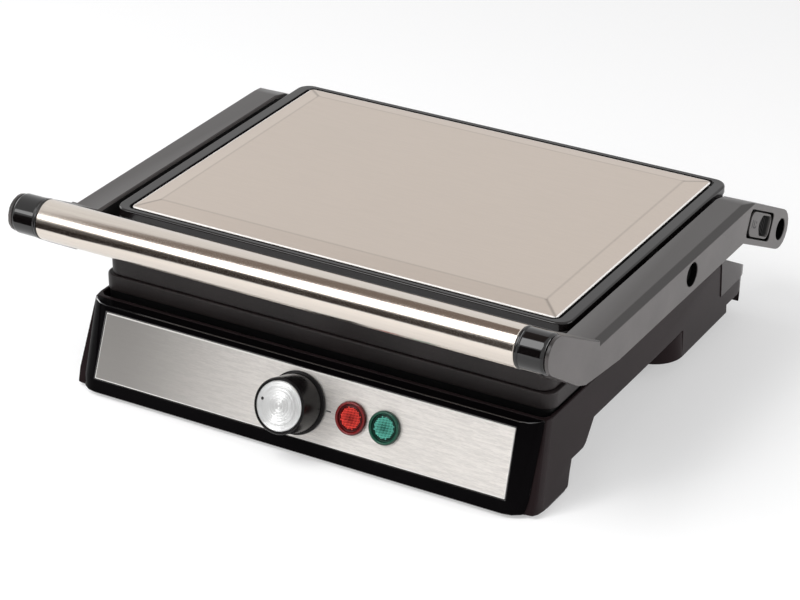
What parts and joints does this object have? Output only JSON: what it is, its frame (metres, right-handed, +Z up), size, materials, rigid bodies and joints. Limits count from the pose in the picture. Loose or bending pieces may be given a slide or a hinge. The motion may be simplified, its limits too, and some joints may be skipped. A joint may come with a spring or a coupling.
{
  "type": "contact grill",
  "caption": "Tabletop contact grill closed on its ribbed plates, with a floating lid carried by side arms and a bar handle, a leaning control panel with dial and lamps, and a sloping rear hood.",
  "frame": {"origin": "centre of the footprint of the closed grill on the table, which is the bottom centre of its bounding box", "axes": "+X to the right seen from the front, along the handle; +Y from the handle to the rear hood; +Z up"},
  "size_m": [0.358, 0.3313, 0.1326],
  "materials": {
    "base_plastic": "fine satin grain",
    "ring_plastic": "polished",
    "arm_plastic": "satin",
    "inner_plastic": "matt",
    "cover_steel": "satin, bright edge",
    "panel_steel": "brushed along the panel",
    "tube_steel": "brushed along the tube",
    "sheet_steel": "plain sheet",
    "spun_aluminium": "spun rings",
    "plate_casting": "dark non-stick coating",
    "reflector_aluminium": "mill finish",
    "element_steel": "dulled by heat",
    "soft_rubber": "matt",
    "red_lens": "clear tinted",
    "green_lens": "clear tinted",
    "slider_plastic": "satin",
    "block_ceramic": "matt"
  },
  "bodies": {
    "base": {"base_housing": "base_plastic", "bottom_cover": "sheet_steel", "buffer_left": "soft_rubber", "buffer_right": "soft_rubber", "control_panel": "panel_steel", "cord_gland": "soft_rubber", "cover_screw_front_left": "sheet_steel", "cover_screw_front_right": "sheet_steel", "cover_screw_rear_left": "sheet_steel", "cover_screw_rear_right": "sheet_steel", "foot_front_left": "soft_rubber", "foot_front_right": "soft_rubber", "foot_rear_left": "soft_rubber", "foot_rear_right": "soft_rubber", "front_fascia": "base_plastic", "green_lamp_holder": "inner_plastic", "green_lamp_lens": "green_lens", "hinge_bracket_left": "sheet_steel", "hinge_bracket_right": "sheet_steel", "hinge_pin_left": "sheet_steel", "hinge_pin_right": "sheet_steel", "lower_grill_plate": "plate_casting", "lower_heating_element": "element_steel", "lower_reflector": "reflector_aluminium", "rear_hood": "base_plastic", "red_lamp_holder": "inner_plastic", "red_lamp_lens": "red_lens", "terminal_block": "block_ceramic", "thermostat_body": "block_ceramic", "thermostat_bracket": "sheet_steel"},
    "arms": {"float_pin_left": "sheet_steel", "float_pin_right": "sheet_steel", "handle_cap_left": "arm_plastic", "handle_cap_right": "arm_plastic", "handle_rod": "sheet_steel", "handle_tube": "tube_steel", "hinge_bush_left": "inner_plastic", "hinge_bush_right": "inner_plastic", "left_arm": "arm_plastic", "left_arm_core": "sheet_steel", "left_arm_cover": "inner_plastic", "right_arm": "arm_plastic", "right_arm_core": "sheet_steel", "right_arm_cover": "inner_plastic"},
    "lid": {"float_bush_left": "inner_plastic", "float_bush_right": "inner_plastic", "top_cover": "cover_steel", "upper_grill_plate": "plate_casting", "upper_heating_element": "element_steel", "upper_housing": "ring_plastic", "upper_reflector": "reflector_aluminium"},
    "dial": {"knob": "ring_plastic", "knob_disc": "spun_aluminium", "thermostat_shaft": "sheet_steel"},
    "slider": {"release_slider": "slider_plastic"}
  },
  "joints": [
    {"name": "lid_open", "type": "hinge", "parent": "base", "child": "arms", "pos_m": [0, 0.15295, 0.06635], "axis": [-1, 0, 0], "range_deg": [0, 180]},
    {"name": "lid_float", "type": "hinge", "parent": "arms", "child": "lid", "pos_m": [0, 0.01995, 0.093], "axis": [1, 0, 0], "range_deg": [0, 6]},
    {"name": "knob_turn", "type": "hinge", "parent": "base", "child": "dial", "pos_m": [0, -0.13246, 0.03096], "axis": [0, 0.9379, -0.3469], "range_deg": [0, 270]},
    {"name": "slider_release", "type": "slide", "parent": "arms", "child": "slider", "axis": [0, -0.8949, 0.4462], "range_m": [0, 0.0036], "stiffness_N_per_m": 200, "springref_m": -0.002}
  ],
  "couplings": [
    {"joint": "lid_float", "follows": "lid_open", "ratio": 0.033333}
  ]
}
